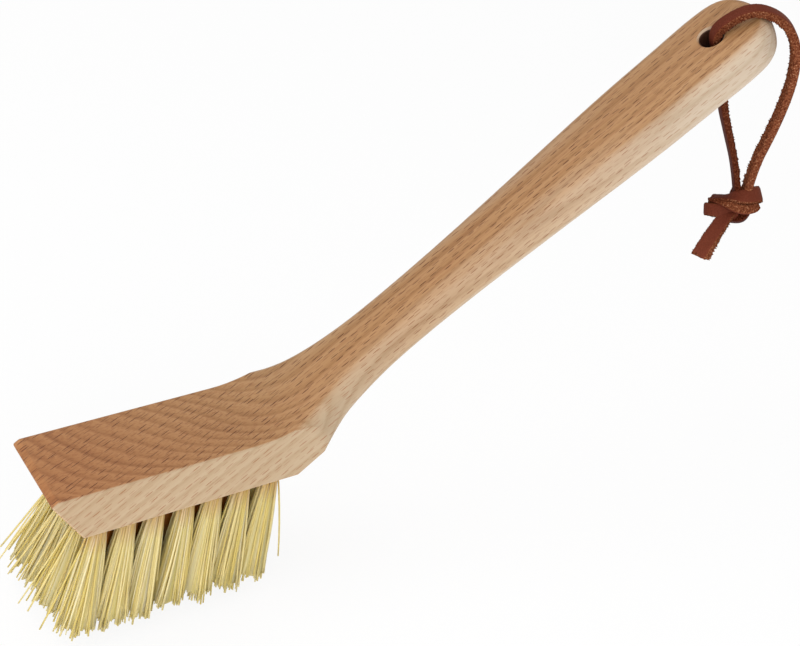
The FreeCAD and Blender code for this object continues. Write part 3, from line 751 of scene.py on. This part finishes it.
def make_leather(name, stops, grain, depth, rough, ior):
    """Leather: tone, roughness and height follow a noise of a given grain; painted shade darkens it.
    """
    material, tree = new_material(name)
    place = add(tree, "TexCoord").outputs["Object"]
    grains = add(tree, "TexNoise", {"Vector": place, "Scale": 1 / grain, "Detail": 4.0,
                                    "Roughness": 0.65}).outputs["Fac"]
    out_of_shade = add(tree, "Attribute", attribute_name="out_of_shade").outputs["Fac"]
    tone = add(tree, "Mix", {0: 1.0, 6: ramp(tree, grains, stops), 7: ramp(tree, out_of_shade, LEATHER_PAINTED_SHADE)},
               data_type="RGBA", blend_type="MULTIPLY").outputs[2]
    dull = add(tree, "MapRange", {"Value": grains, "To Min": rough[0], "To Max": rough[1]})
    bump = add(tree, "Bump", {"Strength": HIDE_BUMP, "Distance": depth, "Height": grains})
    hide = add(tree, "BsdfPrincipled", {"Base Color": tone, "Roughness": dull, "IOR": ior,
                                        "Normal": bump})
    add(tree, "OutputMaterial", {"Surface": hide})
    return material


grain_face = make_leather("leather_grain_face", [(0.3, "5E2B1D"), (0.5, "6B3525"), (0.7, "773E2E")],
                          grain=0.4 * MM, depth=0.03 * MM, rough=(0.5, 0.62), ior=1.12)
raw_cut = make_leather("leather_raw_cut", [(0.35, "4A2012"), (0.5, "74402A"), (0.6, "8E5639"),
                                          (0.7, "C49A78")],
                       grain=0.5 * MM, depth=0.3 * MM, rough=(0.85, 1.0), ior=1.05)
print("leathers", grain_face.name, raw_cut.name)

# %% [markdown]
# ## A strip of hide
# The lace, the turns of its knot and its tails are all one strip, so one function carries its cross
# section along any path, with the grain face outwards. A curve with a bevel would do that too, but
# it can't make one face smooth and the rest raw. A cut hide is never quite even, so the raw part
# is pushed in and out a little, bits are torn out of it, and loose fibres stand on it.

# %% Cross section
SECTION_STEPS = 7
CORNER_PULL, CORNER_POWER = 0.12, 8
GRAIN_FROM, RAW_TO, FLESH_TO = 0.9, 0.86, -0.6


def strip_section():
    """Points round an oblong that spans -1..1 both ways, with rounded corners.

    Each side has its own even steps, and a point is drawn in by pull * |x y|^8.
    """
    steps = np.linspace(-1, 1, SECTION_STEPS, endpoint=False)
    ones = np.ones(SECTION_STEPS)
    square = np.vstack([np.c_[ones, steps], np.c_[-steps, ones],
                        np.c_[-ones, -steps], np.c_[steps, -ones]])
    pull = CORNER_PULL * np.abs(square[:, :1] * square[:, 1:]) ** CORNER_POWER
    return square * (1 - pull)


SECTION = strip_section()
SECTION_MIDDLE = (SECTION + np.roll(SECTION, -1, axis=0)) / 2
IS_GRAIN = SECTION_MIDDLE[:, 1] > GRAIN_FROM
IS_RAW_POINT = SECTION[:, 1] < RAW_TO
IS_FLESH_POINT = SECTION[:, 1] < FLESH_TO
print(len(SECTION), "points round the strip")

# %% Strip along a path
LACE_WIDTH = 4.0 * MM
LACE_THICKNESS = 2.8 * MM
RAW_DEPTH = 0.12 * MM
TORN_POWER, TORN_END_POWER, TORN_END_TIMES = 7, 3, 2


def normed(vectors):
    """Each row divided by its length."""
    return vectors / np.linalg.norm(vectors, axis=1, keepdims=True)


def strip(path, outward, widths, thickness, torn):
    """Strip along a path: path + x * width/2 * side + y * thickness/2 * out, raw parts uneven.

    The flesh side also has bits torn out of it, a few of them long: torn * random^7, and the last
    cut end is torn along the strip by up to twice as much. The side direction is out x tangent.

    Returns points, faces with the two cut ends, and for
    each face 0 for the grain face or 1 for the raw hide.
    """
    tangent = normed(np.gradient(path, axis=0))
    out = normed(outward - np.sum(outward * tangent, axis=1, keepdims=True) * tangent)
    side = np.cross(out, tangent)
    count = len(SECTION)
    uneven = 1 + IS_RAW_POINT * rng.normal(0, RAW_DEPTH / LACE_THICKNESS, (len(path), count))
    bits = torn / LACE_THICKNESS * rng.random(uneven.shape) ** TORN_POWER
    uneven += np.where(IS_FLESH_POINT, bits, 0)
    x = SECTION[:, 0] * uneven * np.asarray(widths)[..., None] / 2
    y = SECTION[:, 1] * uneven * thickness / 2
    points = path[:, None] + x[..., None] * side[:, None] + y[..., None] * out[:, None]
    points[-1] += TORN_END_TIMES * torn * rng.random((count, 1)) ** TORN_END_POWER * tangent[-1]
    last = (len(path) - 1) * count
    faces = [*grid_faces(len(path), count).tolist(), list(range(count))[::-1],
             list(range(last, last + count))]
    kinds = np.r_[np.tile(np.where(IS_GRAIN, 0, 1), len(path) - 1), 1, 1]
    return points.reshape(-1, 3), faces, kinds


print("strip", round(LACE_WIDTH / MM, 1), "by", round(LACE_THICKNESS / MM, 1), "mm")

# %% Loose fibres
HAIR_LENGTH, HAIR_SHORTEST = 0.42 * MM, 0.2
HAIR_RADIUS, HAIR_SUNK = 0.22 * MM, 0.1 * MM
HAIR_LEAN = 0.55


def loose_fibres(points, centres, count):
    """Thin three-sided spikes that stand on points, away from the strip's middle line.

    Base corners are the point + radius at 0, 120 and 240 degrees; the tip is further out.
    """
    pick = rng.integers(0, len(points), count)
    root = points[pick]
    away = normed(root - centres[pick])
    lean = away + rng.normal(0, HAIR_LEAN, (count, 3))
    tip = root + lean * (HAIR_LENGTH * (HAIR_SHORTEST + rng.random(count) ** 2))[:, None]
    across = normed(np.cross(lean, rng.normal(0, 1, (count, 3))))
    other = np.cross(normed(lean), across)
    turns = np.arange(3) * 2 * math.pi / 3
    base = (root[:, None] - HAIR_SUNK * away[:, None]
            + HAIR_RADIUS * (np.cos(turns)[:, None] * across[:, None]
                             + np.sin(turns)[:, None] * other[:, None]))
    corners = np.concatenate([base, tip[:, None]], axis=1).reshape(-1, 3)
    one = np.array([(0, 1, 3), (1, 2, 3), (2, 0, 3)])
    return corners, (np.arange(count)[:, None, None] * 4 + one).reshape(-1, 3)


print("loose fibres up to", round(HAIR_LENGTH / MM, 2), "mm")


# %% Leather pieces
def leather_piece(name, strips, hairs, torn, replaced):
    """Joins strips and their loose fibres into one piece of leather on the loop.

    A strip is given as path, outward directions, widths, thicknesses and share out of painted shade.
    """
    points, faces, kinds, out_of_shade_parts, start = [], [], [], [], 0
    for path, outward, widths, thickness, out_of_shade in strips:
        corners, sides, sorts = strip(path, outward, widths, thickness, torn)
        flesh = corners.reshape(len(path), -1, 3)[:, IS_FLESH_POINT]
        middle = np.broadcast_to(path[:, None], flesh.shape)
        hair, hair_faces = loose_fibres(flesh.reshape(-1, 3), middle.reshape(-1, 3), hairs)
        for block, block_faces, block_kinds in (
                (corners, sides, sorts),
                (hair, hair_faces.tolist(), np.ones(len(hair_faces), dtype=int))):
            points.append(block)
            faces += [[start + index for index in face] for face in block_faces]
            kinds.append(block_kinds)
            start += len(block)
        out_of_shade_parts += [np.repeat(out_of_shade, len(SECTION)), np.full(len(hair), np.mean(out_of_shade))]
    piece = make_piece(name, np.vstack(points), faces, [grain_face, raw_cut], "loop",
                       [replaced], np.concatenate(kinds))
    number_points(piece, "out_of_shade", np.concatenate(out_of_shade_parts))
    return piece


print("leather pieces ride on the loop")

# %% [markdown]
# ## The lace
# The lace comes up through the hole, goes over the handle's end and hangs as a loop, turned a
# little towards us about the hole. Its middle line is a smooth spline that follows the CAD route's
# points, which are so far out from the hole and so far up from the handle's underside. Along its
# way the strip twists a little, is stretched thinner at its start and has painted shade, most at
# its start and least on its far arm.

# %% Lace route
LOOP_TURN = math.radians(-26.0)
OUTWARD = math.cos(LOOP_TURN) * ALONG + math.sin(LOOP_TURN) * ACROSS
SIDEWAYS = math.cos(LOOP_TURN) * ACROSS - math.sin(LOOP_TURN) * ALONG
LACE_ROUTE = np.array([
    (-10.6, -54.2), (-7.6, -41.0), (-5.8, -25.0), (-4.2, -11.5), (-1.2, -0.5), (0.2, 9.0),
    (1.0, 17.6), (7.0, 20.4), (14.8, 20.6), (20.6, 15.0), (23.4, 7.2), (23.0, -2.0),
    (19.4, -12.0), (13.8, -22.0), (6.2, -33.0), (-1.6, -43.0), (-7.4, -54.4),
]) * MM
SPLINE_STEPS = 40


def spline_points(control):
    """Points of a NURBS spline of order 3 with the given control points, end to end."""
    curve = bpy.data.curves.new("route", "CURVE")
    curve.dimensions = "3D"
    spline = curve.splines.new("NURBS")
    spline.points.add(len(control) - 1)
    spline.points.foreach_set("co", np.hstack([control, np.ones((len(control), 1))]).ravel())
    spline.order_u = 3
    spline.use_endpoint_u = True
    spline.resolution_u = SPLINE_STEPS
    holder = bpy.data.objects.new("route", curve)
    mesh = bpy.data.meshes.new_from_object(holder)
    points = np.empty(len(mesh.vertices) * 3)
    mesh.vertices.foreach_get("co", points)
    bpy.data.objects.remove(holder)
    bpy.data.meshes.remove(mesh)
    bpy.data.curves.remove(curve)
    return points.reshape(-1, 3)


route = on_handle(HOLE_ALONG, 0.0, LACE_ROUTE[:, 1]) + LACE_ROUTE[:, :1] * OUTWARD
lace_path = spline_points(route)

# %% Lace
# The share of the way along the lace, with the twist in degrees, the share of full size or the
# share out of painted shade
LACE_TWIST = np.array([(0.0, 12.0), (0.22, 16.0), (0.36, 8.0), (0.6, 0.0), (1.0, 0.0)])
LACE_THIN = np.array([(0.0, 0.74), (0.3, 1.0), (1.0, 1.0)])
LACE_OUT_OF_SHADE = np.array([(0.0, 0.1), (0.28, 0.3), (0.5, 0.6), (0.7, 1.0), (1.0, 0.9)])
LACE_HAIRS, LACE_TORN = 380, 0.8 * MM
way = normed(np.gradient(lace_path, axis=0))
along_lace = np.linspace(0, 1, len(way))
twist = np.radians(np.interp(along_lace, *LACE_TWIST.T))
thin = np.interp(along_lace, *LACE_THIN.T)
out_of_shade = np.interp(along_lace, *LACE_OUT_OF_SHADE.T)
lace_out = np.cos(twist)[:, None] * np.cross(way, SIDEWAYS) - np.sin(twist)[:, None] * SIDEWAYS
lace_strip = (lace_path, lace_out, LACE_WIDTH * thin, LACE_THICKNESS * thin[:, None], out_of_shade)
lace = leather_piece("leather_lace", [lace_strip], LACE_HAIRS, LACE_TORN, "lace_loop")
print("lace has", len(lace.data.polygons), "faces")

# %% [markdown]
# ## The knot and its tails
# The lace's two ends are tied together in one overhand knot. Seen from the front, one turn lies
# across the knot's top with its grain face outwards, the next lies under it on edge, a third
# shows at the lower left, and one end hangs out below. Two more fill the knot's inside. A rope
# simulation could pull it tight, but not into the very form that shows. So each turn is a strip
# along a short spline, drawn in the knot's own directions: right, up and towards the viewer. Where
# the leather is pulled tight it is flattened, so each point also has a width and a thickness.

# %% The knot's directions
KNOT_AT = np.array([85.1, 4.6, -22.7]) * MM
KNOT_AXES = np.array([[0.863, -0.501, 0.075], [0.225, 0.511, 0.830], [-0.453, -0.699, 0.553]])


def knot_strip(line):
    """Strip from rows of right, up, front, outward direction, width, thickness (mm) and shade.

    The shade is how far a point is out of painted shade, from 0 to 1.
    """
    line = np.array(line, dtype=float)
    path = spline_points(KNOT_AT + line[:, :3] * MM @ KNOT_AXES)
    out = spline_points(line[:, 3:6]) @ KNOT_AXES
    sizes = spline_points(line[:, 6:9])
    return path, out, sizes[:, 0] * MM, sizes[:, 1:2] * MM, sizes[:, 2]


print("knot at", KNOT_AT.round(4))

# %% Knot
KNOT_HAIRS, KNOT_TORN = 120, 0.15 * MM
# A row's last number is how far that part of the knot is out of painted shade
TURNS = {
    "top": [
        (3.0, 1.5, -4.6, 0.2, 0.2, -1, 4.4, 2.4, 0.6),
        (8.0, 2.6, -3.4, 1, 0.2, -0.6, 4.8, 2.4, 0.6),
        (9.6, 3.6, -0.4, 1, 0.2, 0.1, 5.2, 2.2, 0.7),
        (8.4, 3.6, 2.4, 0.8, 0.3, 0.8, 5.4, 2.2, 0.8),
        (5.4, 2.6, 4.2, 0.3, 0.25, 1, 5.2, 2.2, 0.8),
        (2.4, 2.4, 4.9, 0.0, 0.3, 1, 5.0, 2.2, 0.8),
        (-0.2, 2.3, 4.8, -0.1, 0.7, 0.9, 4.2, 2.0, 0.6),
        (-2.4, 2.0, 3.8, -0.2, 1, 0.5, 3.6, 1.8, 0.2),
        (-5.4, 2.2, 2.0, -0.5, 1, 0.3, 3.6, 2.0, 0.2),
        (-6.6, 1.8, -0.8, -1, 0.4, -0.4, 3.8, 2.2, 0.2),
        (-3.6, 1.4, -4.2, -0.4, 0, -1, 4.2, 2.4, 0.6),
        (1.0, 1.2, -4.8, 0, 0, -1, 4.2, 2.4, 0.6),
    ],
    "under": [
        (2.0, -0.6, -4.4, 0.1, -0.8, -0.8, 4.2, 2.8, 0.8),
        (6.2, -0.4, -3.4, 0.5, -0.9, -0.3, 4.2, 2.8, 1),
        (7.6, -0.4, -0.4, 0.6, -1, -0.2, 4.2, 3.0, 1),
        (6.8, -1.2, 2.2, 0.3, -1, -0.15, 4.2, 3.3, 1),
        (3.8, -1.8, 3.6, 0.1, -1, -0.1, 4.2, 3.4, 1),
        (0.8, -1.2, 4.0, -0.1, -1, -0.05, 4.2, 3.3, 1),
        (-2.2, 0.1, 3.4, -0.3, -1, 0.0, 4.2, 2.6, 0.7),
        (-5.2, 1.0, 1.6, -0.6, -0.8, 0.3, 4.2, 2.4, 0.3),
        (-6.6, 0.8, -1.0, -1, -0.2, -0.2, 4.2, 2.6, 0.3),
        (-4.0, 0.4, -3.8, -0.4, 0, -1, 4.2, 2.6, 0.5),
    ],
    "lower": [
        (1.6, -3.4, 1.2, 0.2, -0.3, 1, 3.4, 2.2, 0.5),
        (-2.0, -2.7, 2.6, -0.05, -0.1, 1, 4.0, 2.2, 0.5),
        (-5.4, -2.0, 3.0, -0.2, 0.1, 1, 4.5, 2.2, 0.6),
        (-7.9, -1.5, 2.0, -0.8, 0.1, 0.7, 4.2, 2.2, 0.6),
        (-8.4, -1.2, -0.4, -1, 0, -0.2, 4.0, 2.4, 0.6),
        (-6.2, -1.0, -3.0, -0.6, 0, -0.9, 4.2, 2.4, 0.6),
        (-1.0, -0.8, -4.4, 0, 0, -1, 4.2, 2.4, 0.6),
        (3.0, -0.8, -4.2, 0.2, 0, -1, 4.2, 2.4, 0.6),
    ],
    "inner": [
        (2.4, 5.6, 0.6, -0.6, 0, 0.8, 4.2, 2.8, 0.1),
        (1.6, 2.0, 0.4, -0.6, 0, 0.8, 5.0, 4.0, 0.1),
        (0.8, -1.4, 0.2, -0.4, -0.2, 0.9, 5.0, 4.0, 0.1),
        (0.2, -3.2, 0.0, -0.2, -0.4, 0.9, 4.2, 2.8, 0.1),
    ],
    "through": [
        (-6.4, 0.2, 0.0, 0, 0, 1, 4.4, 5.0, 0.2),
        (-2.0, 0.4, 0.0, 0, 0, 1, 5.0, 6.4, 0.2),
        (2.6, 0.6, 0.0, 0, 0, 1, 5.0, 6.4, 0.2),
        (7.6, 1.4, -0.4, 0, 0, 1, 4.4, 5.0, 0.2),
    ],
}
knot = leather_piece("leather_knot", [knot_strip(line) for line in TURNS.values()], KNOT_HAIRS,
                     KNOT_TORN, "lace_knot")
print("knot of", len(TURNS), "turns")

# %% Tails
TAIL_HAIRS, TAIL_TORN = 90, 0.5 * MM
# A row's last number is how far that part of the tail is out of painted shade
TAILS = {
    "front": [
        (0.8, -0.8, 0.6, -0.1, 0.4, 1, 4.4, 2.2, 0.5),
        (-1.8, -2.8, 2.6, -0.2, 0.3, 1, 4.8, 2.2, 0.5),
        (-4.2, -6.2, 3.8, -0.3, 0.2, 1, 4.9, 2.2, 0.6),
        (-7.6, -11.4, 3.6, -0.6, 0.1, 0.9, 5.6, 2.8, 0.8),
        (-10.9, -17.2, 3.0, -0.75, 0.05, 0.8, 6.2, 3.4, 1),
    ],
    "back": [
        (5.6, -1.6, 0.4, 1, -0.3, 0.2, 4.0, 2.4, 0.2),
        (4.8, -3.6, 0.4, 0.8, -0.8, 0.2, 4.0, 2.4, 0),
        (2.6, -4.9, 0.4, 0.1, -1, 0.2, 4.0, 2.4, 0),
        (0.2, -4.6, 0.2, -0.4, -1, 0.1, 4.0, 2.4, 0),
    ],
}
tails = [leather_piece(f"leather_tail_{name}", [knot_strip(line)], TAIL_HAIRS, TAIL_TORN,
                       f"lace_tail_{name}")
         for name, line in TAILS.items()]
print(len(tails), "tails")

# %% [markdown]
# ## Floor and light
# The brush stands on its fibres on a sheet of white paper that runs on to the horizon. The paper
# glows for the camera alone, so that it comes out white without lighting the brush. The light is
# that of a white studio. The sky looks white, straight or mirrored, but gives half as much light,
# and three large soft lamps add to it. The one in front makes the near side lighter than the top,
# and two weaker ones reach the toe and the top.

# %% Floor
FLOOR_Z = min(float(point.z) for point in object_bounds())
FLOOR_HALF = 3.0
PAPER_GLOW = 0.88
floor_corners = [(-FLOOR_HALF, -FLOOR_HALF, FLOOR_Z), (FLOOR_HALF, -FLOOR_HALF, FLOOR_Z),
                 (FLOOR_HALF, FLOOR_HALF, FLOOR_Z), (-FLOOR_HALF, FLOOR_HALF, FLOOR_Z)]
floor_mesh = bpy.data.meshes.new("floor")
floor_mesh.from_pydata(floor_corners, [], [(0, 1, 2, 3)])
floor = bpy.data.objects.new("floor", floor_mesh)
bpy.context.scene.collection.objects.link(floor)
floor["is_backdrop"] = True
paper, tree = new_material("white_paper")
sheet = add(tree, "BsdfDiffuse", {"Color": srgb("F4F4F4")})
glow = add(tree, "Emission", {"Color": srgb("FFFFFF"), "Strength": 1.0})
seen = add(tree, "LightPath").outputs["Is Camera Ray"]
glowing = add(tree, "Math", {0: seen, 1: PAPER_GLOW}, operation="MULTIPLY")
both = add(tree, "MixShader", {0: glowing, 1: sheet, 2: glow})
add(tree, "OutputMaterial", {"Surface": both})
floor_mesh.materials.append(paper)
print("floor at", round(FLOOR_Z, 4))

# %% World
SKY_LIGHT, SKY_SEEN = 0.55, 1.0
world = bpy.data.worlds.new("studio")
bpy.context.scene.world = world
world.use_nodes = True
tree = world.node_tree
tree.nodes.clear()
soft = add(tree, "Background", {"Color": srgb("FFFFFF"), "Strength": SKY_LIGHT})
white = add(tree, "Background", {"Color": srgb("FFFFFF"), "Strength": SKY_SEEN})
seen = add(tree, "LightPath")
shown = add(tree, "Math", {0: seen.outputs["Is Camera Ray"], 1: seen.outputs["Is Glossy Ray"]},
            operation="MAXIMUM")
sky = add(tree, "MixShader", {0: shown, 1: soft, 2: white})
add(tree, "OutputWorld", {"Surface": sky})
bpy.context.scene.view_settings.view_transform = "Standard"
print("world", world.name)

# %% Lamps
LAMP_WIDTH = 0.9
# Where each lamp stands, in metres, and its power in watts
LAMPS = {
    "front_lamp": ((-0.35, -1.0, 0.35), 8.0),
    "toe_lamp": ((-1.1, -0.35, 0.3), 5.0),
    "top_lamp": ((-0.3, 0.4, 1.1), 5.0),
}
for name, (place, power) in LAMPS.items():
    lamp = bpy.data.lights.new(name, "AREA")
    lamp.shape = "SQUARE"
    lamp.size = LAMP_WIDTH
    lamp.energy = power
    light = bpy.data.objects.new(name, lamp)
    light.location = place
    light.rotation_mode = "QUATERNION"
    light.rotation_quaternion = (-Vector(place)).to_track_quat("-Z", "Y")
    bpy.context.scene.collection.objects.link(light)
print(len(LAMPS), "lamps")
